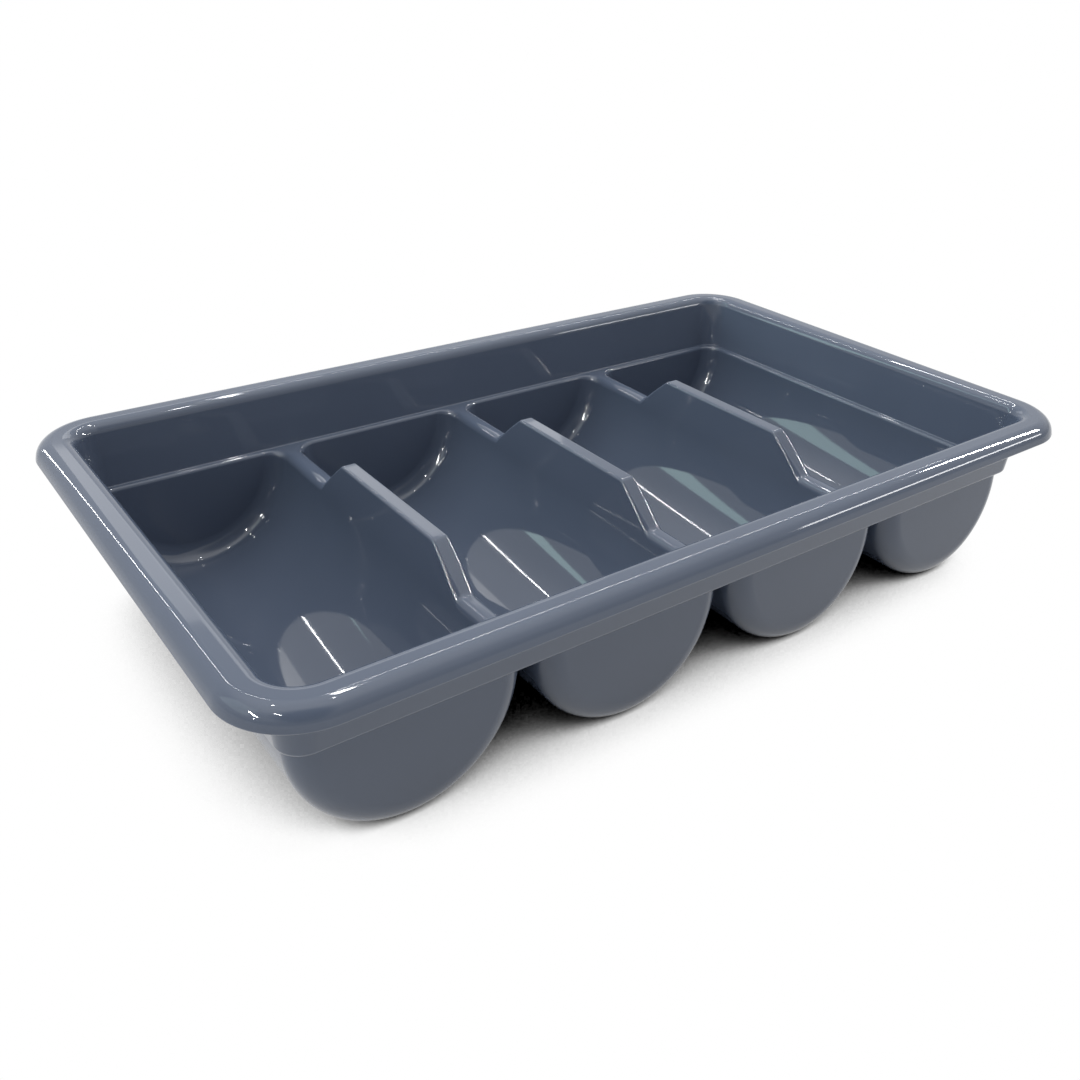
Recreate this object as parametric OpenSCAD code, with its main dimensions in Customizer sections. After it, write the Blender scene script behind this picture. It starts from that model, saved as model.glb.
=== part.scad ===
// Cutlery tray with four round-bottomed bowls, moulded as one thin shell.
// X runs along the long side, Y along the short side, Z up; the tray stands on z = 0.
// Each named region of the moulding is a closed solid that meets its neighbours face to face.

/* [Tray] */
// Overall length over the lip
tray_l = 530; // [480:1:600]
// Overall width over the lip
tray_w = 325; // [290:1:360]
// Overall height from the floor to the rim
tray_h = 96; // [90:0.5:120]
// Thickness of the moulded wall
wall_t = 2; // [1.6:0.1:2.2]

/* [Rim and lip] */
// Corner radius of the lip, seen from above
corner_r = 37; // [35:0.5:46]
// Drop of the lip below the top of the rim
lip_drop = 9.8; // [9.6:0.1:16]
// Slope of the lip, in degrees from level
lip_slope = 80; // [60:1:84]
// Radius of the edge between the lip and the flat top
lip_round = 8.6; // [3.2:0.1:8.8]
// Width of the flat top of the rim
rim_flat = 4.9; // [3:0.1:11]
// Radius of the inner edge of the rim
rim_round = 7; // [4:0.1:9]

/* [Upper wall and ledge] */
// Draft of the upper wall, in degrees from upright
draft = 10; // [6:0.5:12]
// Height of the ledge that the bowls hang from
ledge_z = 59; // [56:0.5:64]
// Radius of the hollow corner between the upper wall and the ledge
ledge_fillet = 0.8; // [0.5:0.1:4]
// Flat width of the ledge
ledge_flat = 0.8; // [0.3:0.1:4]
// Radius of the rolled edge between the ledge and a bowl
edge_round = 2.3; // [2.3:0.1:4]

/* [Bowls] */
// Draft of the dividers, and the least draft of the bowls' sides, in degrees from upright
bowl_draft = 3; // [2:0.5:5]
// Width of the bridge between two bowls, just below their rolled edges
bridge_w = 11.8; // [10:0.2:26]
// Inside radius where a bowl's end wall meets its bottom and sides
bowl_fillet = 11; // [8:0.5:14]
// Depth of the flat that each bowl stands on, cut into its round bottom
foot_cut = 0.25; // [0.1:0.05:0.8]

/* [Dividers] */
// Height of a divider's ridge
ridge_z = 80; // [72:0.5:84]
// Half of the ridge's level length
ridge_half = 50; // [40:0.5:60]
// Half of the divider's length at the ledge
foot_half = 74.5; // [66:0.5:90]
// Radius along the ridge's top edges
ridge_round = 1.9; // [1.5:0.1:3]
// Radius of the corner between the ridge and its sloping end
crest_round = 5; // [2:0.5:8]

/* [Hidden] */
$fn = 96;
plastic = [0.36, 0.39, 0.44];
lip_plastic = [0.45, 0.48, 0.53];
inner_plastic = [0.30, 0.33, 0.40];
// How far a cutting body runs past what it cuts
past = 1;
// A span larger than the tray, for half-planes
far = 1000;

// Rim profile, measured inwards (u) from the outermost point of the lip
lip_end_z = tray_h - lip_drop + wall_t / 2;
lip_foot_u = wall_t / 2 * (1 - sin(lip_slope));
lip_foot_z = lip_end_z + wall_t / 2 * cos(lip_slope);
lip_crest_z = tray_h - lip_round * (1 - cos(lip_slope));
lip_bar = (lip_crest_z - lip_foot_z) / sin(lip_slope);
flat_u = lip_foot_u + lip_bar * cos(lip_slope) + lip_round * sin(lip_slope);
round_u = flat_u + rim_flat;
wall_u = round_u + rim_round * cos(draft);
wall_z = tray_h - rim_round * (1 - sin(draft));
wall_foot_u = wall_u + (wall_z - ledge_z) * tan(draft);
fillet_run = ledge_fillet * tan((90 - draft) / 2);
ledge_u = wall_foot_u + fillet_run;
edge_u = ledge_u + ledge_flat;
bowl_u = edge_u + edge_round;
edge_z = ledge_z - edge_round;

// Bowl profile: the bowls and the bridges between them fill the length inside the ledge
bowl_count = 4;
bowl_half_w = (tray_l - 2 * bowl_u - (bowl_count - 1) * bridge_w) / (2 * bowl_count);
pitch = 2 * bowl_half_w + bridge_w;
// The round bottom stands on the floor and runs into sides that are bowl_half_w apart at edge_z
bowl_depth = edge_z - wall_t + foot_cut;
// A bowl that is wide for its depth has more draft, so that its sides keep this height
least_side = 2;
side_draft = max(bowl_draft, 2 * atan(bowl_half_w / (bowl_depth - least_side)) - 90);
bowl_r = (bowl_half_w - bowl_depth * tan(side_draft)) / (1 / cos(side_draft) - tan(side_draft));
axis_z = bowl_r + wall_t - foot_cut;
bowl_half_l = tray_w / 2 - bowl_u;
trough_half_l = bowl_half_l - bowl_fillet;
saddle_half = pitch / 2 - bowl_half_w - edge_round;
corner_x = bowl_half_w - bowl_fillet;
edge_half_l = bowl_half_l + edge_round;

function bowl_x(i) = (i - (bowl_count + 1) / 2) * pitch;
function divider_x(i) = (i - bowl_count / 2) * pitch;
// Half width of a bowl at height z, grown by g
function side_x(z, g) =
    (bowl_r + g) * cos(side_draft)
    + (z - axis_z + (bowl_r + g) * sin(side_draft)) * tan(side_draft);
// Half width of a divider at height z, shrunk by g
function divider_half(z, g) =
    bridge_w / 2 - (z - edge_z) * tan(bowl_draft) - g / cos(bowl_draft);

SIDES = ["front", "right", "back", "left"];

// Flat shapes

// Part of a ring of radii r1 to r2, between the angles a1 and a2
module ring_sector(r1, r2, a1, a2) {
    reach = 2 * r2;
    mid = (a1 + a2) / 2;
    intersection() {
        difference() {
            circle(r2);
            circle(r1);
        }
        polygon([
            [0, 0],
            reach * [cos(a1), sin(a1)],
            reach * [cos(mid), sin(mid)],
            reach * [cos(a2), sin(a2)]
        ]);
    }
}

// A straight stretch of wall between two points, wall_t thick towards its right-hand side
module wall_bar(p, q) {
    along = (q - p) / norm(q - p);
    side = wall_t * [along[1], -along[0]];
    polygon([p, q, q + side, p + side]);
}

// The lip's sloping bar with its rounded foot
module lip_bar_profile() {
    wall_bar(
        [lip_foot_u, lip_foot_z],
        [flat_u - lip_round * sin(lip_slope), lip_crest_z]
    );
}

module lip_foot_profile() {
    translate([wall_t / 2, lip_end_z])
        circle(wall_t / 2);
}

// The bend from the lip into the flat top
module lip_bend_profile() {
    translate([flat_u, tray_h - lip_round])
        ring_sector(lip_round - wall_t, lip_round, 90, 90 + lip_slope);
}

// The flat top of the rim
module rim_flat_profile() {
    wall_bar([flat_u, tray_h], [round_u, tray_h]);
}

// The round that turns the rim down into the tray
module rim_bend_profile() {
    translate([round_u, tray_h - rim_round])
        ring_sector(rim_round - wall_t, rim_round, draft, 90);
}

// The drafted upper wall
module wall_bar_profile() {
    wall_bar(
        [wall_u, wall_z],
        [wall_foot_u - fillet_run * sin(draft), ledge_z + fillet_run * cos(draft)]
    );
}

// The hollow corner at the foot of the upper wall
module wall_foot_profile() {
    translate([ledge_u, ledge_z + ledge_fillet])
        ring_sector(ledge_fillet, ledge_fillet + wall_t, 180 + draft, 270);
}

// The rolled edge of a bowl, bending down towards -x from its centre
module edge_profile() {
    ring_sector(edge_round - wall_t, edge_round, 90, 180);
}

// The flat of the ledge beside a rolled edge
module ledge_profile() {
    translate([0, edge_round - wall_t])
        square([ledge_flat, wall_t]);
}

// Where a bowl's round bottom, grown by g, meets its drafted side
function bowl_touch(g) =
    [(bowl_r + g) * cos(side_draft), axis_z - (bowl_r + g) * sin(side_draft)];

// The round of a bowl's bottom in section, grown by g, below where the sides begin
module bowl_round_section(g) {
    intersection() {
        translate([0, axis_z])
            circle(bowl_r + g);
        translate([-far / 2, bowl_touch(g)[1] - far])
            square(far);
    }
}

// The room between a bowl's sides in section, grown by g, up to the rolled edge
module bowl_sides_section(g) {
    touch = bowl_touch(g);
    top = [side_x(edge_z, g), edge_z];
    polygon([[-touch[0], touch[1]], touch, top, [-top[0], top[1]]]);
}

// The wall of a bowl's round bottom in section
module trough_round_profile() {
    translate([0, axis_z])
        ring_sector(bowl_r, bowl_r + wall_t, 180 + side_draft, 360 - side_draft);
}

// The wall of a bowl's drafted side in section
module trough_side_profile() {
    polygon([
        bowl_touch(0),
        bowl_touch(wall_t),
        [side_x(edge_z, wall_t), edge_z],
        [side_x(edge_z, 0), edge_z]
    ]);
}

// The hollow corner round a bowl's end: radius along x, length along y from the trough
module end_corner_profile() {
    translate([bowl_r - bowl_fillet, 0])
        ring_sector(bowl_fillet, bowl_fillet + wall_t, 0, 90);
}

// Placing

// Runs rim profiles along one straight side: 0 front, 1 right, 2 back, 3 left
module along_side(k) {
    long = k % 2 == 0;
    run = (long ? tray_l : tray_w) - 2 * corner_r;
    reach = (long ? tray_w : tray_l) / 2;
    rotate(90 * k)
        translate([-run / 2, -reach, 0])
        rotate([90, 0, 90])
        for (i = [0:$children - 1])
            linear_extrude(run)
            children(i);
}

// Turns rim profiles round the four corners
module round_corners() {
    for (k = [0:3], i = [0:$children - 1])
        at_corner(k, corner_r)
            rotate_extrude(angle = 90)
            translate([corner_r, 0])
            mirror([1, 0])
            children(i);
}

// Moves to the centre of a corner that lies inset from both sides, facing outwards
module at_corner(k, inset) {
    sx = k == 0 || k == 3 ? 1 : -1;
    sy = k < 2 ? 1 : -1;
    translate([sx * (tray_l / 2 - inset), sy * (tray_w / 2 - inset), 0])
        rotate(90 * k)
        children();
}

// Runs sections drawn in x and z along y, from y1 to y2
module along_y(y1, y2) {
    translate([0, y2, 0])
        rotate([90, 0, 0])
        for (i = [0:$children - 1])
            linear_extrude(y2 - y1)
            children(i);
}

// Runs sections drawn in y and z along x, from x1 to x2
module along_x(x1, x2) {
    translate([x1, 0, 0])
        rotate([90, 0, 90])
        for (i = [0:$children - 1])
            linear_extrude(x2 - x1)
            children(i);
}

// Bodies

// The ledge between the round wall foot and an end bowl's rolled corner, from the bowl's corner centre
module ledge_corner() {
    foot_r = corner_r - ledge_u;
    edge_r = bowl_fillet + edge_round;
    shift = edge_r + ledge_flat - foot_r;
    translate([0, 0, ledge_z - wall_t])
        linear_extrude(wall_t)
        difference() {
            union() {
                translate([shift, shift])
                    circle(foot_r);
                square([shift, edge_r + ledge_flat]);
                square([edge_r + ledge_flat, shift]);
            }
            circle(edge_r);
        }
}

// The hollow corner that joins a bowl's end wall to its bottom and sides
module end_corner() {
    intersection() {
        for (side = [0, 1])
            mirror([side, 0, 0])
            translate([0, trough_half_l, axis_z])
            rotate([-90, side_draft, 0]) {
                rotate_extrude(angle = 90 - side_draft)
                    end_corner_profile();
                rotate([90, 0, 0])
                    linear_extrude(ledge_z)
                    end_corner_profile();
            }
        translate([-far / 2, -far / 2, 0])
            cube([far, far, edge_z]);
    }
}

// The rolled edge round one end of a bowl, with the ledge's flat along the straight of it
module end_edge() {
    translate([0, edge_half_l, edge_z])
        along_x(-corner_x, corner_x) {
            edge_profile();
            ledge_profile();
        }
    for (side = [0, 1])
        mirror([side, 0, 0])
        translate([corner_x, trough_half_l, edge_z])
        rotate_extrude(angle = 90)
        translate([bowl_fillet + edge_round, 0])
        edge_profile();
}

// A divider's form across, shrunk by g, from the height low to the ridge
module divider_across(g, low) {
    top = ridge_z - g;
    r = max(ridge_round - g, 0.1);
    c = [divider_half(top, g) - r * tan((90 - bowl_draft) / 2), top - r];
    touch = c + r * [cos(bowl_draft), sin(bowl_draft)];
    along_y(-foot_half, foot_half) {
        polygon([
            [-divider_half(low, g), low],
            [divider_half(low, g), low],
            touch,
            [c[0], top],
            [-c[0], top],
            [-touch[0], touch[1]]
        ]);
        translate(c)
            circle(r);
        translate([-c[0], c[1]])
            circle(r);
    }
}

// A divider's form along its length, shrunk by g, from the height low to the ridge
module divider_along(g, low) {
    slope = atan2(ridge_z - ledge_z, foot_half - ridge_half);
    shift = g / sin(slope);
    top = ridge_z - g;
    r = crest_round - g;
    foot = foot_half - shift;
    foot_low = g > 0 ? foot + (ledge_z - low) / tan(slope) : foot;
    c = [ridge_half - shift + g / tan(slope) - r * tan(slope / 2), top - r];
    touch = c + r * [sin(slope), cos(slope)];
    along_x(-pitch / 2, pitch / 2) {
        polygon([
            [-foot_low, low],
            [-foot, ledge_z],
            [-touch[0], touch[1]],
            [-c[0], top],
            [c[0], top],
            touch,
            [foot, ledge_z],
            [foot_low, low]
        ]);
        translate(c)
            circle(r);
        translate([-c[0], c[1]])
            circle(r);
    }
}

// A divider's form, shrunk by g
module divider_form(g, low) {
    intersection() {
        divider_across(g, low);
        divider_along(g, low);
    }
}

// The bridge between two bowls, from a divider's foot to the wall's foot at one end of the tray
module saddle() {
    reach = pitch / 2 - corner_x;
    translate([0, 0, ledge_z - wall_t])
        linear_extrude(wall_t)
        difference() {
            translate([-reach, foot_half])
                square([2 * reach, edge_half_l + ledge_flat - foot_half]);
            for (side = [0, 1])
                mirror([side, 0]) {
                    translate([saddle_half, 0])
                        square([reach, trough_half_l]);
                    translate([reach, trough_half_l])
                        circle(bowl_fillet + edge_round);
                }
        }
    for (side = [0, 1])
        mirror([side, 0, 0])
        translate([-saddle_half, 0, edge_z])
        along_y(foot_half, trough_half_l)
        edge_profile();
}

// Sub-parts

module lip_side(k) {
    color(lip_plastic)
        along_side(k) {
            lip_bar_profile();
            lip_foot_profile();
            lip_bend_profile();
        }
}

module lip_corners() {
    color(lip_plastic)
        round_corners() {
            lip_bar_profile();
            lip_foot_profile();
            lip_bend_profile();
        }
}

module rim_side(k) {
    color(lip_plastic)
        along_side(k) {
            rim_flat_profile();
            rim_bend_profile();
        }
}

module rim_corners() {
    color(lip_plastic)
        round_corners() {
            rim_flat_profile();
            rim_bend_profile();
        }
}

module wall_side(k) {
    color(plastic)
        along_side(k) {
            wall_bar_profile();
            wall_foot_profile();
        }
}

module wall_corners() {
    color(plastic) {
        round_corners() {
            wall_bar_profile();
            wall_foot_profile();
        }
        for (k = [0:3])
            at_corner(k, bowl_u + bowl_fillet)
                ledge_corner();
    }
}

// The rolled edge and ledge along the outer side of an end bowl
module side_edge(side) {
    color(plastic)
        mirror([side, 0, 0])
        translate([tray_l / 2 - edge_u, 0, edge_z])
        along_y(-trough_half_l, trough_half_l) {
            edge_profile();
            ledge_profile();
        }
}

module trough(i) {
    color(inner_plastic)
        translate([bowl_x(i), 0, 0])
        intersection() {
            along_y(-trough_half_l, trough_half_l)
                trough_round_profile();
            translate([-far / 2, -far / 2, 0])
                cube(far);
        }
}

// The two drafted sides that rise from a bowl's round bottom
module bowl_sides(i) {
    color(inner_plastic)
        for (side = [0, 1])
            translate([bowl_x(i), 0, 0])
            mirror([side, 0, 0])
            along_y(-trough_half_l, trough_half_l)
            trough_side_profile();
}

// Places one end of a bowl at both ends of bowl i
module both_ends(i) {
    for (side = [0, 1])
        translate([bowl_x(i), 0, 0])
        mirror([0, side, 0])
        children();
}

module end_walls(i) {
    color(plastic)
        both_ends(i)
        along_y(bowl_half_l, bowl_half_l + wall_t) {
            bowl_round_section(-bowl_fillet);
            bowl_sides_section(-bowl_fillet);
        }
}

module end_corners(i) {
    color(plastic)
        both_ends(i)
        end_corner();
}

module end_edges(i) {
    color(plastic)
        both_ends(i)
        end_edge();
}

module divider(i) {
    color(inner_plastic)
        translate([divider_x(i), 0, 0])
        difference() {
            divider_form(0, edge_z);
            divider_form(wall_t, edge_z - past);
        }
}

module saddles(i) {
    color(inner_plastic)
        translate([divider_x(i), 0, 0])
        for (side = [0, 1])
            mirror([0, side, 0])
            saddle();
}

for (k = [0:3]) {
    lip_side(k);
    rim_side(k);
    wall_side(k);
}
lip_corners();
rim_corners();
wall_corners();
side_edge(1);  // side_edge_left
side_edge(0);  // side_edge_right
for (i = [1:bowl_count]) {
    trough(i);
    bowl_sides(i);
    end_walls(i);
    end_corners(i);
    end_edges(i);
}
for (i = [1:bowl_count - 1]) {
    divider(i);
    saddles(i);
}
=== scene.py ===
"""Cutlery tray: one glossy moulding with a lip, four round-bottomed bowls and three dividers."""
from math import acos, atan2, cos, pi, radians, sin, sqrt, tan

import bpy
import numpy as np
from mathutils import Matrix, Vector


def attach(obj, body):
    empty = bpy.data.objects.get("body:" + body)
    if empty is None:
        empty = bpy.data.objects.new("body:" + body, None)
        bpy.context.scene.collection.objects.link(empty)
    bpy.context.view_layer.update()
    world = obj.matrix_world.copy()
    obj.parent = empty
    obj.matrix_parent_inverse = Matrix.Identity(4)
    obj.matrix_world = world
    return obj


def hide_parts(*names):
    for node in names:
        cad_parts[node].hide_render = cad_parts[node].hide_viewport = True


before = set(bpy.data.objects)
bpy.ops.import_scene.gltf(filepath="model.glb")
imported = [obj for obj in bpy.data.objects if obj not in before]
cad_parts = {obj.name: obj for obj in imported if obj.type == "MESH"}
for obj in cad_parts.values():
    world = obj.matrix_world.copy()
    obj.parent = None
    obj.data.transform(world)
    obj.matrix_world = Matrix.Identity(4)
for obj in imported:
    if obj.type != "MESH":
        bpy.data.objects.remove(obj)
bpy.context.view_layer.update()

MM = 0.001

# Sizes of the moulding, in millimetres, as in the part's source
TRAY_L, TRAY_W, TRAY_H, WALL_T = 530.0, 325.0, 96.0, 2.0
CORNER_R, LIP_DROP, LIP_SLOPE, LIP_ROUND = 37.0, 9.8, radians(80), 8.6
RIM_FLAT, RIM_ROUND = 4.9, 7.0
DRAFT, LEDGE_Z, LEDGE_FILLET, LEDGE_FLAT, EDGE_ROUND = radians(10), 59.0, 0.8, 0.8, 2.3
BOWLS, BOWL_DRAFT, BRIDGE_W, BOWL_FILLET, FOOT_CUT = 4, radians(3), 11.8, 11.0, 0.25
RIDGE_Z, RIDGE_HALF, FOOT_HALF, RIDGE_ROUND, CREST_ROUND = 80.0, 50.0, 74.5, 1.9, 5.0
# Finer rounds that only the skin has, and how far past the ridge's and the foot's end its edges widen
FOOT_ROUND = 5.0
SADDLE_ROUND = 5.0
WIDEN_SHIFT = 6.0
# Height at which a bowl's skin ends and a divider's or saddle's begins
SPLIT_Z = 53.6
# Place on the tray's middle from which the points of the ledge's outline are put in order by angle
SIGHT_Y = 40.0

# Values that follow from the sizes
LIP_END_Z = TRAY_H - LIP_DROP + WALL_T / 2
LIP_FOOT_U = WALL_T / 2 * (1 - sin(LIP_SLOPE))
LIP_FOOT_Z = LIP_END_Z + WALL_T / 2 * cos(LIP_SLOPE)
LIP_CREST_Z = TRAY_H - LIP_ROUND * (1 - cos(LIP_SLOPE))
LIP_BAR = (LIP_CREST_Z - LIP_FOOT_Z) / sin(LIP_SLOPE)
FLAT_U = LIP_FOOT_U + LIP_BAR * cos(LIP_SLOPE) + LIP_ROUND * sin(LIP_SLOPE)
ROUND_U = FLAT_U + RIM_FLAT
WALL_U = ROUND_U + RIM_ROUND * cos(DRAFT)
WALL_Z = TRAY_H - RIM_ROUND * (1 - sin(DRAFT))
WALL_FOOT_U = WALL_U + (WALL_Z - LEDGE_Z) * tan(DRAFT)
FILLET_RUN = LEDGE_FILLET * tan((pi / 2 - DRAFT) / 2)
LEDGE_U = WALL_FOOT_U + FILLET_RUN
BOWL_U = LEDGE_U + LEDGE_FLAT + EDGE_ROUND
EDGE_Z = LEDGE_Z - EDGE_ROUND
HALF_W = (TRAY_L - 2 * BOWL_U - (BOWLS - 1) * BRIDGE_W) / (2 * BOWLS)
PITCH = 2 * HALF_W + BRIDGE_W
BOWL_DEPTH = EDGE_Z - WALL_T + FOOT_CUT
BOWL_R = (HALF_W - BOWL_DEPTH * tan(BOWL_DRAFT)) / (1 / cos(BOWL_DRAFT) - tan(BOWL_DRAFT))
AXIS_Z = BOWL_R + WALL_T - FOOT_CUT
TOUCH_Z = AXIS_Z - BOWL_R * sin(BOWL_DRAFT)
END_Y = TRAY_W / 2 - BOWL_U
TROUGH_Y = END_Y - BOWL_FILLET
# Along a divider: where the ridge's round begins and ends, and the foot's
RIDGE_SLOPE = atan2(RIDGE_Z - LEDGE_Z, FOOT_HALF - RIDGE_HALF)
CREST_Y = RIDGE_HALF - CREST_ROUND * tan(RIDGE_SLOPE / 2)
CREST_END_Y = CREST_Y + CREST_ROUND * sin(RIDGE_SLOPE)
FOOT_Y = FOOT_HALF + FOOT_ROUND * tan(RIDGE_SLOPE / 2)
FOOT_START_Y = FOOT_Y - FOOT_ROUND * sin(RIDGE_SLOPE)

# How finely the skin is divided: bowls, lip, rim and wall, round the tray, and along a divider
N_FLAT, N_ROUND, N_UPPER, N_LOWER, N_ARC, N_BETA = 4, 12, 14, 5, 48, 14
N_LIP_BEND, N_LIP_BAR, N_LIP_TIP, N_LIP_INNER = 12, 4, 12, 8
N_RIM_FLAT, N_RIM_ROUND, N_WALL, N_WALL_FOOT = 3, 16, 10, 10
N_STATIONS = 24
N_RIDGE, N_CREST, N_SLOPE, N_FOOT, N_SADDLE = 8, 10, 12, 10, 12
# Points that agree to so many digits of a millimetre are one, and lengths this near are equal
POINT_DIGITS = 3
NEAR = 1e-6

UP = np.array([0.0, 0.0, 1.0])
CORNERS = ((1, 1), (-1, 1), (-1, -1), (1, -1))
RING_PARTS = ("front", "right", "back", "left", "corners")
BOWL_PARTS = ("trough", "bowl_sides", "end_walls", "end_corners", "end_edges")


def side_x(z):
    """Half width of a bowl at height z, on its drafted side."""
    return HALF_W + (z - EDGE_Z) * tan(BOWL_DRAFT)


def bowl_x(i):
    """Place of bowl i's middle along the tray."""
    return (i - (BOWLS - 1) / 2) * PITCH


def without_repeats(ids):
    """A ring of vertices without those that repeat the one before."""
    return [c for k, c in enumerate(ids) if c != ids[k - 1]]


class Skin:
    """Points, normals and faces of the moulding's upper side, from which a closed shell is made."""

    def __init__(self):
        self.points = []
        self.normals = []
        self.faces = []
        self.index = {}

    def vertex(self, point, normal):
        key = tuple(np.round(point, POINT_DIGITS) + 0.0)
        if key not in self.index:
            self.index[key] = len(self.points)
            self.points.append(np.asarray(point, float))
            self.normals.append(np.asarray(normal, float))
        return self.index[key]

    def face(self, corners):
        """A small face, wound so that it looks the way of its normals."""
        ring = without_repeats(corners)
        if len(set(ring)) < 3:
            return
        a, b, c = (self.points[ring[k]] for k in (0, len(ring) // 3, 2 * len(ring) // 3))
        way = np.dot(np.cross(b - a, c - a), sum(self.normals[k] for k in ring))
        self.faces.append(ring if way > 0 else ring[::-1])

    def grid(self, points, normals, wrap=False):
        rows, cols = points.shape[:2]
        ids = [[self.vertex(points[i, j], normals[i, j]) for j in range(cols)] for i in range(rows)]
        for i in range(rows if wrap else rows - 1):
            for j in range(cols - 1):
                k = (i + 1) % rows
                self.face([ids[i][j], ids[i][j + 1], ids[k][j + 1], ids[k][j]])

    def polygon(self, points, normal):
        """A flat face; its winding comes from its signed area, so it may be concave."""
        ring = without_repeats([self.vertex(p, normal) for p in points])
        loop = np.array([self.points[k] for k in ring])
        area = np.cross(loop, np.roll(loop, -1, axis=0)).sum(axis=0)
        self.faces.append(ring if np.dot(area, normal) > 0 else ring[::-1])

    def shell(self, name):
        """Closes the skin with its offset underside and the edges between the two."""
        top = np.array(self.points)
        normals = np.array(self.normals)
        normals /= np.linalg.norm(normals, axis=1)[:, None]
        count = len(top)
        edges = dict.fromkeys(edge for ring in self.faces for edge in zip(ring, ring[1:] + ring[:1]))
        faces = [list(ring) for ring in self.faces]
        faces += [[k + count for k in ring[::-1]] for ring in self.faces]
        faces += [[b, a, a + count, b + count] for a, b in edges if (b, a) not in edges]
        points = np.concatenate([top, top - WALL_T * normals])
        points[:, 2] = np.maximum(points[:, 2], 0.0)
        return make_mesh(name, points, faces, np.concatenate([normals, -normals]))


def make_mesh(name, points, faces, normals):
    """A smooth piece from points in millimetres, with a normal for each point."""
    mesh = bpy.data.meshes.new(name)
    mesh.from_pydata((points * MM).tolist(), [], faces)
    mesh.update()
    mesh.polygons.foreach_set("use_smooth", [True] * len(mesh.polygons))
    mesh.normals_split_custom_set_from_vertices(normals.tolist())
    piece = bpy.data.objects.new(name, mesh)
    bpy.context.collection.objects.link(piece)
    return piece


# Profiles, as pairs of points and normals


def arc(centre, radius, start, end, count):
    """Points and outward normals on an arc; a negative radius turns the normals inwards."""
    angles = np.linspace(start, end, count + 1)
    normals = np.stack([np.cos(angles), np.sin(angles)], axis=1)
    return np.asarray(centre) + abs(radius) * normals, normals * np.sign(radius)


def line(start, end, normal, count):
    """Points on a straight line, all with the same normal."""
    steps = np.linspace(0, 1, count + 1)[:, None]
    points = np.asarray(start) * (1 - steps) + np.asarray(end) * steps
    return points, np.tile(np.asarray(normal, float), (count + 1, 1))


def chain(*parts):
    """Joins parts end to end and drops the repeated points."""
    points = np.concatenate([parts[0][0]] + [p[0][1:] for p in parts[1:]])
    normals = np.concatenate([parts[0][1]] + [p[1][1:] for p in parts[1:]])
    return points, normals


# Lip, rim and wall, as profiles in u (inwards from the lip's outermost point) and z


def rim_stations():
    """Centres and outward directions round the tray: four corners, joined by straight sides."""
    hx, hy = TRAY_L / 2 - CORNER_R, TRAY_W / 2 - CORNER_R
    stations = []
    for k, (sx, sy) in enumerate(CORNERS):
        for angle in np.linspace(k * pi / 2, (k + 1) * pi / 2, N_STATIONS + 1):
            stations.append((sx * hx, sy * hy, cos(angle), sin(angle)))
        nx, ny = CORNERS[(k + 1) % len(CORNERS)]
        way = (cos((k + 1) * pi / 2), sin((k + 1) * pi / 2))
        for step in np.linspace(0, 1, N_STATIONS + 1)[1:-1]:
            x = sx * hx * (1 - step) + nx * hx * step
            y = sy * hy * (1 - step) + ny * hy * step
            stations.append((x, y, *way))
    return np.array(stations)


def sweep(profile, normals, stations):
    """Carries a profile round the stations; returns points and normals as grids."""
    reach = CORNER_R - profile[:, 0]
    centre, way = stations[:, :2], stations[:, 2:]
    flat = centre[:, None, :] + way[:, None, :] * reach[None, :, None]
    height = np.broadcast_to(profile[:, 1], flat.shape[:2])
    side = -way[:, None, :] * normals[None, :, 0, None]
    rise = np.broadcast_to(normals[:, 1], flat.shape[:2])
    return np.dstack([flat, height]), np.dstack([side, rise])


def make_lip(stations):
    """The lip has a full round at its foot, so its profile is a closed loop."""
    out = np.array([-sin(LIP_SLOPE), cos(LIP_SLOPE)])
    foot = np.array([LIP_FOOT_U, LIP_FOOT_Z])
    crest = np.array([FLAT_U - LIP_ROUND * sin(LIP_SLOPE), LIP_CREST_Z])
    bend = (FLAT_U, TRAY_H - LIP_ROUND)
    tip = (WALL_T / 2, LIP_END_Z)
    tilt = pi / 2 + LIP_SLOPE
    loop = chain(
        arc(bend, LIP_ROUND, pi / 2, tilt, N_LIP_BEND),
        line(crest, foot, out, N_LIP_BAR),
        arc(tip, WALL_T / 2, tilt, tilt + pi, N_LIP_TIP),
        line(foot - WALL_T * out, crest - WALL_T * out, -out, N_LIP_BAR),
        arc(bend, -(LIP_ROUND - WALL_T), tilt, pi / 2, N_LIP_INNER),
    )
    points, normals = sweep(*loop, stations)
    rows, cols = points.shape[:2]
    faces = []
    for i in range(rows):
        for j in range(cols):
            a, b = i * cols, (i + 1) % rows * cols
            faces.append([a + j, a + (j + 1) % cols, b + (j + 1) % cols, b + j])
    return make_mesh("lip", points.reshape(-1, 3), faces, normals.reshape(-1, 3))


def make_ring(name, profile, stations):
    """A shell that carries an open profile all round the tray."""
    skin = Skin()
    skin.grid(*sweep(*profile, stations), wrap=True)
    return skin.shell(name)


def rim_profile():
    """The flat top and the inner round."""
    return chain(
        line((FLAT_U, TRAY_H), (ROUND_U, TRAY_H), (0, 1), N_RIM_FLAT),
        arc((ROUND_U, TRAY_H - RIM_ROUND), RIM_ROUND, pi / 2, DRAFT, N_RIM_ROUND),
    )


def wall_profile():
    """The drafted wall and the hollow corner at its foot."""
    inward = (cos(DRAFT), sin(DRAFT))
    foot = (WALL_FOOT_U - FILLET_RUN * sin(DRAFT), LEDGE_Z + FILLET_RUN * cos(DRAFT))
    return chain(
        line((WALL_U, WALL_Z), foot, inward, N_WALL),
        arc((LEDGE_U, LEDGE_Z + LEDGE_FILLET), -LEDGE_FILLET, pi + DRAFT, 1.5 * pi, N_WALL_FOOT),
    )


# Bowls and dividers, as sections across the tray that change along it


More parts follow.
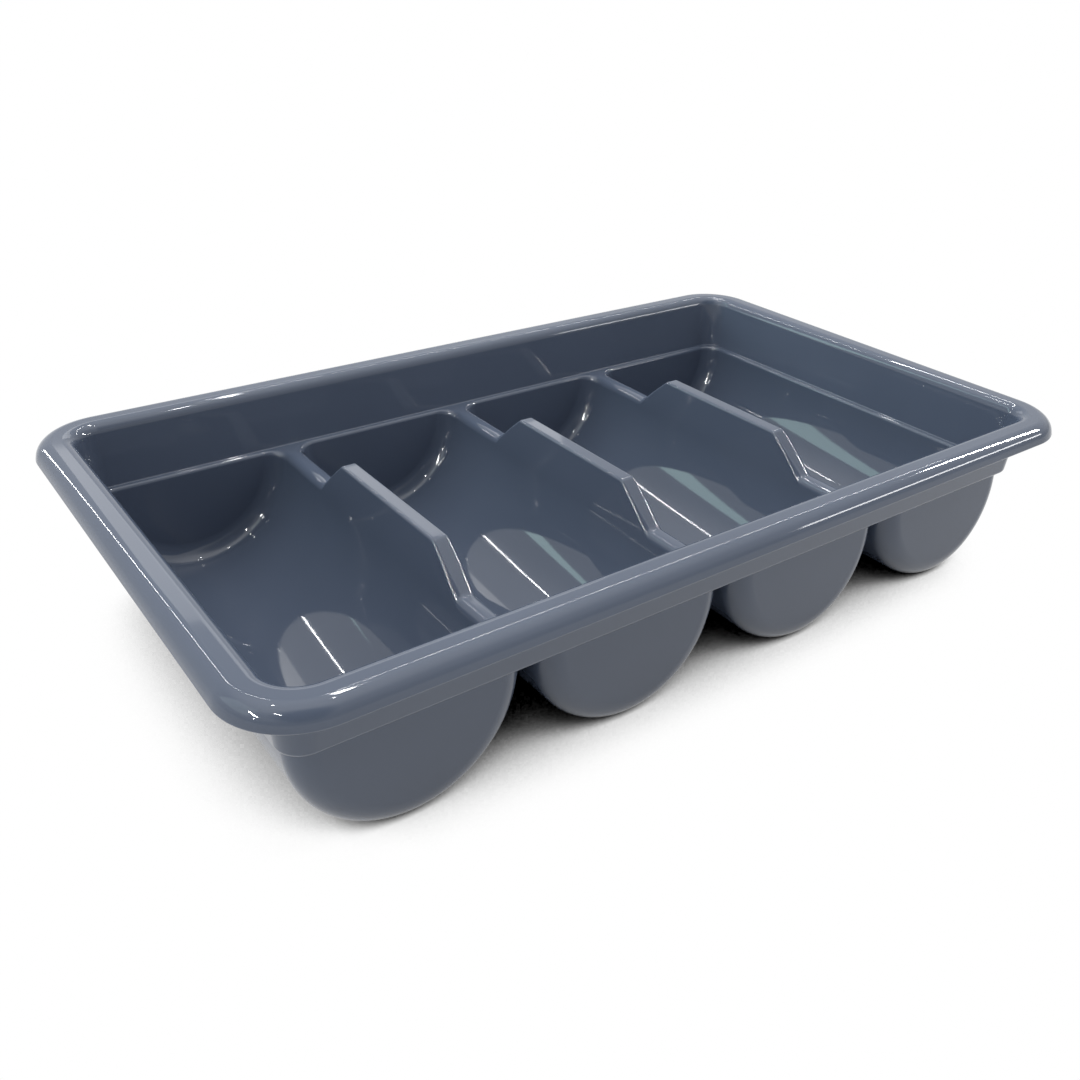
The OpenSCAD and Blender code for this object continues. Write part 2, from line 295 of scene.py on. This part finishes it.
def ridge_height(y):
    """Height of a divider's ridge line at distance y from the tray's middle."""
    y = abs(y)
    if y <= CREST_Y:
        return RIDGE_Z
    if y <= CREST_END_Y:
        return RIDGE_Z - CREST_ROUND + sqrt(CREST_ROUND ** 2 - (y - CREST_Y) ** 2)
    if y <= FOOT_START_Y:
        return RIDGE_Z - (y - RIDGE_HALF) * tan(RIDGE_SLOPE)
    if y <= FOOT_Y:
        return LEDGE_Z + FOOT_ROUND - sqrt(FOOT_ROUND ** 2 - (FOOT_Y - y) ** 2)
    return LEDGE_Z


def ridge_edge(y):
    """Radius of the rounded edge beside a divider or saddle at distance y from the middle."""
    start, end = RIDGE_HALF + WIDEN_SHIFT, FOOT_HALF + WIDEN_SHIFT
    step = min(max((abs(y) - start) / (end - start), 0.0), 1.0)
    return RIDGE_ROUND + (SADDLE_ROUND - RIDGE_ROUND) * step * step * (3 - 2 * step)


def row_places():
    """Distances along the tray at which sections are taken, closer where the ridge bends."""
    marks = (
        (0.0, CREST_Y, N_RIDGE),
        (CREST_Y, CREST_END_Y, N_CREST),
        (CREST_END_Y, FOOT_START_Y, N_SLOPE),
        (FOOT_START_Y, FOOT_Y, N_FOOT),
        (FOOT_Y, TROUGH_Y, N_SADDLE),
    )
    half = [0.0]
    for start, end, count in marks:
        half += list(np.linspace(start, end, count + 1)[1:])
    return np.array([-y for y in half[:0:-1]] + half)


ROWS = row_places()


def upper_section(top, radius, outer):
    """From the outer end of the flat, over the rounded edge, down to SPLIT_Z; x grows outwards."""
    end_z = top - radius + radius * sin(BOWL_DRAFT)
    flat_x = side_x(end_z) + radius * cos(BOWL_DRAFT)
    inward = (-cos(BOWL_DRAFT), sin(BOWL_DRAFT))
    return chain(
        line((outer, top), (flat_x, top), (0, 1), N_FLAT),
        arc((flat_x, top - radius), radius, pi / 2, pi - BOWL_DRAFT, N_ROUND),
        line((side_x(end_z), end_z), (side_x(SPLIT_Z), SPLIT_Z), inward, N_UPPER),
    )


def lower_section():
    """From SPLIT_Z on one side, round the bottom, to SPLIT_Z on the other side."""
    inward = np.array([-cos(BOWL_DRAFT), sin(BOWL_DRAFT)])
    high, low = (side_x(SPLIT_Z), SPLIT_Z), (BOWL_R * cos(BOWL_DRAFT), TOUCH_Z)
    return chain(
        line(high, low, inward, N_LOWER),
        arc((0, AXIS_Z), -BOWL_R, -BOWL_DRAFT, -pi + BOWL_DRAFT, 2 * N_ARC),
        line((-low[0], low[1]), (-high[0], high[1]), (-inward[0], inward[1]), N_LOWER),
    )


def loft(sections):
    """Points and normals of sections stacked along the rows; the normals lean with the ridge's slope."""
    flat = np.array([s[0] for s in sections])
    side = np.array([s[1] for s in sections])
    along = np.broadcast_to(ROWS[:, None], flat.shape[:2])
    points = np.dstack([flat[:, :, 0], along, flat[:, :, 1]])
    drift = np.gradient(flat, ROWS, axis=0)
    lean = -(side * drift).sum(axis=2)
    return points, np.dstack([side[:, :, 0], lean, side[:, :, 1]])


def placed(points, normals, x, mirror):
    """Moves a grid to x, mirrored left to right if asked."""
    sign = np.array([-1.0 if mirror else 1.0, 1.0, 1.0])
    return points * sign + np.array([x, 0, 0]), normals * sign


def make_divider(i):
    """The raised ridge and the saddles at its two ends, as two pieces."""
    x = (bowl_x(i) + bowl_x(i + 1)) / 2
    points, normals = loft([upper_section(ridge_height(y), ridge_edge(y), PITCH / 2) for y in ROWS])
    inner = np.abs(ROWS) <= FOOT_Y + NEAR
    front, back = ROWS <= -FOOT_Y + NEAR, ROWS >= FOOT_Y - NEAR
    ridge, saddles = Skin(), Skin()
    for mirror in (False, True):
        bowl = x + PITCH / 2 if mirror else x - PITCH / 2
        grid, lean = placed(points, normals, bowl, mirror)
        ridge.grid(grid[inner], lean[inner])
        saddles.grid(grid[front], lean[front])
        saddles.grid(grid[back], lean[back])
    return ridge.shell(f"divider_ridge_{i + 1}"), saddles.shell(f"saddle_pair_{i + 1}")


def end_side(sign, edge, beta):
    """A drafted side at turn beta of the hollow corner, down to SPLIT_Z, and its rolled edge's radius."""
    shift = BOWL_FILLET * (1 - cos(beta))
    inward = np.array([-sign * cos(BOWL_DRAFT), sin(BOWL_DRAFT)])
    radius = edge + (EDGE_ROUND - edge) * sin(beta) ** 2
    lift = cos(beta) * sin(BOWL_DRAFT)
    start = LEDGE_Z - radius * (1 - lift) - shift * sin(BOWL_DRAFT)
    top = np.array([sign * side_x(start), start])
    split = np.array([sign * side_x(SPLIT_Z), SPLIT_Z])
    return line(top + shift * inward, split + shift * inward, inward, N_UPPER), radius


def end_roll(upper, radius, beta, y, end):
    """The rolled edge from a drafted side's top over to the level of the ledge."""
    top, inward = upper[0][0], upper[1][0]
    lift = cos(beta) * sin(BOWL_DRAFT)
    normal = np.array([cos(beta) * inward[0], -end * sin(beta), lift])
    climb = UP - lift * normal
    climb /= np.linalg.norm(climb)
    centre = np.array([top[0], y, top[1]]) - radius * normal
    turns = np.linspace(0, acos(lift), N_ROUND + 1)[:, None]
    out = np.cos(turns) * normal + np.sin(turns) * climb
    return centre + radius * out, out


def bowl_end(skin, x, end, rounds):
    """The hollow corner, the end wall and the rolled edge at one end of a bowl."""
    low, low_normals = lower_section()
    strips, leans = [], []
    rolls, roll_leans = {1: [], -1: []}, {1: [], -1: []}
    for beta in np.linspace(0, pi / 2, N_BETA + 1):
        y = end * (TROUGH_Y + BOWL_FILLET * sin(beta))
        bottom = low + BOWL_FILLET * (1 - cos(beta)) * low_normals
        uppers = {}
        for sign in (1, -1):
            uppers[sign], radius = end_side(sign, rounds[sign], beta)
            roll, out = end_roll(uppers[sign], radius, beta, y, end)
            rolls[sign].append(roll)
            roll_leans[sign].append(out)
        climb = [part[::-1] for part in uppers[-1]]
        flat, side = chain(uppers[1], (bottom, low_normals), climb)
        strips.append(np.column_stack([flat[:, 0], np.full(len(flat), y), flat[:, 1]]))
        turned = np.column_stack([side[:, 0], np.zeros(len(side)), side[:, 1]]) * cos(beta)
        leans.append(turned + np.array([0, -end * sin(beta), 0]))
    offset = np.array([x, 0, 0])
    skin.grid(np.array(strips) + offset, np.array(leans))
    skin.polygon(strips[-1] + offset, np.array([0.0, -end, 0.0]))
    roll = np.array(rolls[1] + rolls[-1][::-1]) + offset
    skin.grid(roll, np.array(roll_leans[1] + roll_leans[-1][::-1]))
    return roll[:, -1]


def make_bowl(i):
    """A bowl with its two ends; an end bowl also has the edge beside the tray's side wall."""
    x = bowl_x(i)
    skin = Skin()
    skin.grid(*placed(*loft([lower_section()] * len(ROWS)), x, False))
    rounds = {1: SADDLE_ROUND, -1: SADDLE_ROUND}
    for sign, last in ((-1, 0), (1, BOWLS - 1)):
        if i == last:
            rounds[sign] = EDGE_ROUND
            outer = HALF_W + EDGE_ROUND + LEDGE_FLAT
            sections = [upper_section(LEDGE_Z, EDGE_ROUND, outer)] * len(ROWS)
            skin.grid(*placed(*loft(sections), x, sign < 0))
    edges = {end: bowl_end(skin, x, end, rounds) for end in (-1, 1)}
    return skin.shell(f"bowl_{i + 1}"), edges


def make_ledge(stations, edges):
    """The flat ledge between the wall's foot and the bowls' rolled edges, at both ends of the bowls."""
    skin = Skin()
    foot = sweep(np.array([[LEDGE_U, LEDGE_Z]]), np.array([[0.0, 1.0]]), stations)[0][:, 0]
    reach = TRAY_L / 2 - LEDGE_U
    for end in (-1, 1):
        outside = foot[foot[:, 1] * end > TROUGH_Y]
        angles = np.arctan2(outside[:, 1] * end - SIGHT_Y, outside[:, 0])
        outside = outside[np.argsort(angles)]
        first = np.array([[reach, end * TROUGH_Y, LEDGE_Z]])
        last = np.array([[-reach, end * TROUGH_Y, LEDGE_Z]])
        inside = np.concatenate([edges[i][end][::-1] for i in range(BOWLS)])
        skin.polygon(np.concatenate([first, outside, last, inside]), UP)
    return skin.shell("ledge")


# Looks of the plastic: two tints and where they lie in the mottling, gloss, and a ripple in metres
TINTS = ((0.3, (0.094, 0.118, 0.170, 1)), (0.7, (0.104, 0.130, 0.186, 1)))
PLASTIC_IOR = 1.5
SMOOTHEST, ROUGHEST = 0.03, 0.07
RIPPLE_STRENGTH, RIPPLE_DEPTH = 0.012, 0.0005
# Scale and detail of the noise behind each
MOTTLE, SMEAR, RIPPLE = (9.0, 3.0), (26.0, 4.0), (60.0, 2.0)


def plastic():
    """Glossy slate-blue moulded plastic: faint mottling, uneven gloss and a moulded ripple."""
    mat = bpy.data.materials.new("slate_gloss_plastic")
    mat.use_nodes = True
    nodes, links = mat.node_tree.nodes, mat.node_tree.links
    shader = nodes["Principled BSDF"]
    shader.inputs["IOR"].default_value = PLASTIC_IOR
    where = nodes.new("ShaderNodeTexCoord")

    def noise(scale, detail):
        texture = nodes.new("ShaderNodeTexNoise")
        texture.inputs["Scale"].default_value = scale
        texture.inputs["Detail"].default_value = detail
        links.new(where.outputs["Object"], texture.inputs["Vector"])
        return texture.outputs["Fac"]

    tint = nodes.new("ShaderNodeValToRGB")
    for stop, (position, colour) in zip(tint.color_ramp.elements, TINTS):
        stop.position = position
        stop.color = colour
    links.new(noise(*MOTTLE), tint.inputs["Fac"])
    links.new(tint.outputs["Color"], shader.inputs["Base Color"])

    gloss = nodes.new("ShaderNodeMapRange")
    gloss.inputs["To Min"].default_value = SMOOTHEST
    gloss.inputs["To Max"].default_value = ROUGHEST
    links.new(noise(*SMEAR), gloss.inputs["Value"])
    links.new(gloss.outputs["Result"], shader.inputs["Roughness"])

    bump = nodes.new("ShaderNodeBump")
    bump.inputs["Strength"].default_value = RIPPLE_STRENGTH
    bump.inputs["Distance"].default_value = RIPPLE_DEPTH
    links.new(noise(*RIPPLE), bump.inputs["Height"])
    links.new(bump.outputs["Normal"], shader.inputs["Normal"])
    return mat


# Floor: how much light it throws back, its size and how far it lies under the tray, in metres
FLOOR_LIT, FLOOR_HALF, FLOOR_DROP = 0.6, 80.0, 0.0002
# Painted shadow on the floor, drawn from ambient occlusion: how far it looks about, in metres, and the open
# shares at which it is black and gone
PAINTED_SHADOW_SAMPLES, PAINTED_SHADOW_REACH, PAINTED_SHADOW_FROM, PAINTED_SHADOW_TO = 16, 0.25, 0.12, 0.45


def white_floor():
    """White to the eye and in reflections, with the tray's shadow painted in from ambient occlusion; matt
    for the light it throws back.
    """
    mat = bpy.data.materials.new("studio_floor")
    mat.use_nodes = True
    nodes, links = mat.node_tree.nodes, mat.node_tree.links
    nodes.remove(nodes["Principled BSDF"])
    lit = nodes.new("ShaderNodeBsdfDiffuse")
    lit.inputs["Color"].default_value = (FLOOR_LIT, FLOOR_LIT, FLOOR_LIT, 1)
    # Painted shadow: ambient occlusion darkens the emission colour that camera and gloss see near the tray
    hollow = nodes.new("ShaderNodeAmbientOcclusion")
    hollow.samples = PAINTED_SHADOW_SAMPLES
    hollow.inputs["Distance"].default_value = PAINTED_SHADOW_REACH
    painted_shadow_ramp = nodes.new("ShaderNodeMapRange")
    painted_shadow_ramp.interpolation_type = "SMOOTHSTEP"
    painted_shadow_ramp.inputs["From Min"].default_value = PAINTED_SHADOW_FROM
    painted_shadow_ramp.inputs["From Max"].default_value = PAINTED_SHADOW_TO
    links.new(hollow.outputs["AO"], painted_shadow_ramp.inputs["Value"])
    seen = nodes.new("ShaderNodeEmission")
    links.new(painted_shadow_ramp.outputs["Result"], seen.inputs["Color"])
    path = nodes.new("ShaderNodeLightPath")
    looked_at = path.outputs["Is Camera Ray"]
    for ray in ("Is Glossy Ray", "Is Transmission Ray"):
        either = nodes.new("ShaderNodeMath")
        either.operation = "MAXIMUM"
        links.new(looked_at, either.inputs[0])
        links.new(path.outputs[ray], either.inputs[1])
        looked_at = either.outputs["Value"]
    mix = nodes.new("ShaderNodeMixShader")
    links.new(looked_at, mix.inputs["Fac"])
    links.new(lit.outputs["BSDF"], mix.inputs[1])
    links.new(seen.outputs["Emission"], mix.inputs[2])
    links.new(mix.outputs["Shader"], nodes["Material Output"].inputs["Surface"])
    return mat


def make_floor():
    """One large triangle, so that no seam shows."""
    mesh = bpy.data.meshes.new("floor")
    corners = [(-2 * FLOOR_HALF, -FLOOR_HALF, 0), (2 * FLOOR_HALF, -FLOOR_HALF, 0), (0, 2 * FLOOR_HALF, 0)]
    mesh.from_pydata(corners, [], [(0, 1, 2)])
    floor = bpy.data.objects.new("floor", mesh)
    floor.location.z = -FLOOR_DROP
    bpy.context.collection.objects.link(floor)
    mesh.materials.append(white_floor())


# Sky: its level, times as bright overhead, the level at the horizon, and times in the room by the camera
SKY_LEVEL, ZENITH_TIMES, HORIZON_LEVEL, ROOM_TIMES = 0.9, 2.0, 0.6, 0.1
# Which way each change looks, and the cosines between which it comes in
ZENITH_WAY, ZENITH_FROM, ZENITH_TO = (0, 0, 1), 0.6, 0.95
HORIZON_WAY, HORIZON_FROM, HORIZON_TO = (0, 0.3, 0.954), 0.0, 0.3
ROOM_WAY, ROOM_FROM, ROOM_TO = (-0.25, -0.68, 0.69), 0.78, 0.97


def make_world():
    """A white sky that falls off at the horizon and towards the dark room behind the camera."""
    world = bpy.data.worlds.new("studio")
    world.use_nodes = True
    nodes, links = world.node_tree.nodes, world.node_tree.links
    where = nodes.new("ShaderNodeTexCoord")

    def change(way, from_min, from_max, to_min, to_max):
        along = nodes.new("ShaderNodeVectorMath")
        along.operation = "DOT_PRODUCT"
        along.inputs[1].default_value = way
        links.new(where.outputs["Generated"], along.inputs[0])
        ramp = nodes.new("ShaderNodeMapRange")
        ramp.interpolation_type = "SMOOTHSTEP"
        ramp.inputs["From Min"].default_value = from_min
        ramp.inputs["From Max"].default_value = from_max
        ramp.inputs["To Min"].default_value = to_min
        ramp.inputs["To Max"].default_value = to_max
        links.new(along.outputs["Value"], ramp.inputs["Value"])
        return ramp.outputs["Result"]

    level = change(HORIZON_WAY, HORIZON_FROM, HORIZON_TO, HORIZON_LEVEL, SKY_LEVEL)
    zenith = change(ZENITH_WAY, ZENITH_FROM, ZENITH_TO, 1.0, ZENITH_TIMES)
    room = change(ROOM_WAY, ROOM_FROM, ROOM_TO, 1.0, ROOM_TIMES)
    for part in (zenith, room):
        times = nodes.new("ShaderNodeMath")
        times.operation = "MULTIPLY"
        links.new(level, times.inputs[0])
        links.new(part, times.inputs[1])
        level = times.outputs["Value"]
    links.new(level, nodes["Background"].inputs["Strength"])
    nodes["Background"].inputs["Color"].default_value = (1, 1, 1, 1)
    bpy.context.scene.world = world


# Lamps as strips between two points in millimetres, with width, level (white is 1) and colour,
# and the point that the strip faces where that isn't the middle of the tray's foot
WHITE, GREENISH, PALE_GREEN = (1, 1, 1), (0.66, 1.0, 0.95), (0.84, 1.0, 0.98)
LAMPS = {
    "tube": ((-603, 1010, 300), (53, 1010, 1500), 8, 60.0, WHITE),
    "green_panel": ((-712, 894, 300), (-712, 894, 1700), 590, 3.0, GREENISH, (140, 1417, 1000)),
    "left_panel": ((-1350, 300, 500), (-1350, 300, 1600), 1000, 0.8, PALE_GREEN),
    "back_bank": ((100, 2000, 1130), (1250, 1640, 1130), 420, 1.1, WHITE),
}
# Tubes, spots and a window that light no matt surface and show only as thin lines in the gloss
GLINTS = {
    "front_window": ((983, -1035, 654), (1750, -1035, 654), 150, 13.0, WHITE),
    "ceiling_tube": ((300, 850, 1400), (2100, 850, 1400), 16, 60.0, WHITE),
    "overhead": ((290, 226, 1400), (307, 636, 1400), 20, 100.0, WHITE),
    "ceiling_right": ((209, -102, 1400), (209, -42, 1400), 30, 90.0, WHITE),
    "ceiling_back": ((-433, 225, 1400), (-433, 285, 1400), 30, 90.0, WHITE),
    "front_tube": ((-1760, -1280, 2350), (-1760, -800, 2350), 30, 220.0, WHITE),
    "left_tube": ((-1235, -372, 595), (-1235, -68, 855), 36, 220.0, WHITE),
    "right_tube": ((998, -357, 584), (998, -53, 844), 30, 220.0, WHITE),
    "front_left_spot": ((-1650, -420, 490), (-1650, -420, 570), 40, 120.0, WHITE),
}


def make_lamp(name, start, end, width, level, colour, target=(0, 0, 0)):
    """A strip that faces the target and gives off level, where 1 is white, all over its face."""
    start, end = Vector(start) * MM, Vector(end) * MM
    data = bpy.data.lights.new(name, "AREA")
    data.shape = "RECTANGLE"
    data.size, data.size_y = width * MM, (end - start).length
    data.energy = pi * data.size * data.size_y * level
    data.color = colour
    lamp = bpy.data.objects.new(name, data)
    middle = (start + end) / 2
    along = (end - start).normalized()
    side = along.cross(middle - Vector(target) * MM).normalized()
    turn = Matrix((side, along, side.cross(along))).transposed().to_4x4()
    lamp.matrix_world = Matrix.Translation(middle) @ turn
    lamp.visible_camera = False
    bpy.context.collection.objects.link(lamp)
    return lamp


# The photograph's camera: place in millimetres, axes, focal length and principal point in pixels
PHOTO_PX = 1080
EYE = (-389.3, -505.4, 368.6)
RIGHT = (0.792429, -0.608954, 0.035094)
VIEW = (0.591451, 0.753039, -0.288301)
FOCAL_PX = 1177.2
CENTRE_PX = (590.0, 290.0)
# Width of the sensor in millimetres, and the nearest and farthest that is seen, in metres
SENSOR_W = 36.0
CLIP_NEAR, CLIP_FAR = 0.01, 50.0


def make_camera():
    """The camera at the photograph's place, shifted only as far as the photograph's framing is."""
    data = bpy.data.cameras.new("camera")
    data.sensor_width = SENSOR_W
    data.lens = FOCAL_PX / PHOTO_PX * data.sensor_width
    data.shift_x = (PHOTO_PX / 2 - CENTRE_PX[0]) / PHOTO_PX
    data.shift_y = (CENTRE_PX[1] - PHOTO_PX / 2) / PHOTO_PX
    data.clip_start, data.clip_end = CLIP_NEAR, CLIP_FAR
    camera = bpy.data.objects.new("camera", data)
    back = -Vector(VIEW).normalized()
    up = back.cross(Vector(RIGHT)).normalized()
    right = up.cross(back)
    turn = Matrix((right, up, back)).transposed().to_4x4()
    camera.matrix_world = Matrix.Translation(Vector(EYE) * MM) @ turn
    bpy.context.collection.objects.link(camera)
    bpy.context.scene.camera = camera


def dress(piece, material, *nodes):
    """Gives a piece its material and lets it stand in for the named solids."""
    piece.data.materials.append(material)
    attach(piece, "root")
    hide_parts(*nodes)


def build():
    """All pieces of the tray, from the lip inwards."""
    coat = plastic()
    stations = rim_stations()
    dress(make_lip(stations), coat, *(f"lip_{part}" for part in RING_PARTS))
    dress(make_ring("rim", rim_profile(), stations), coat, *(f"rim_{part}" for part in RING_PARTS))
    dress(make_ring("upper_wall", wall_profile(), stations), coat, *(f"wall_{part}" for part in RING_PARTS))
    edges = {}
    for i in range(BOWLS):
        bowl, edges[i] = make_bowl(i)
        dress(bowl, coat, *(f"{part}_{i + 1}" for part in BOWL_PARTS))
    dress(make_ledge(stations, edges), coat, "side_edge_left", "side_edge_right")
    for i in range(BOWLS - 1):
        divider, saddles = make_divider(i)
        dress(divider, coat, f"divider_{i + 1}")
        dress(saddles, coat, f"saddles_{i + 1}")


build()
make_floor()
make_world()
for name, strip in LAMPS.items():
    make_lamp(name, *strip)
for name, strip in GLINTS.items():
    make_lamp(name, *strip).visible_diffuse = False
make_camera()
bpy.context.scene.view_settings.view_transform = "Standard"
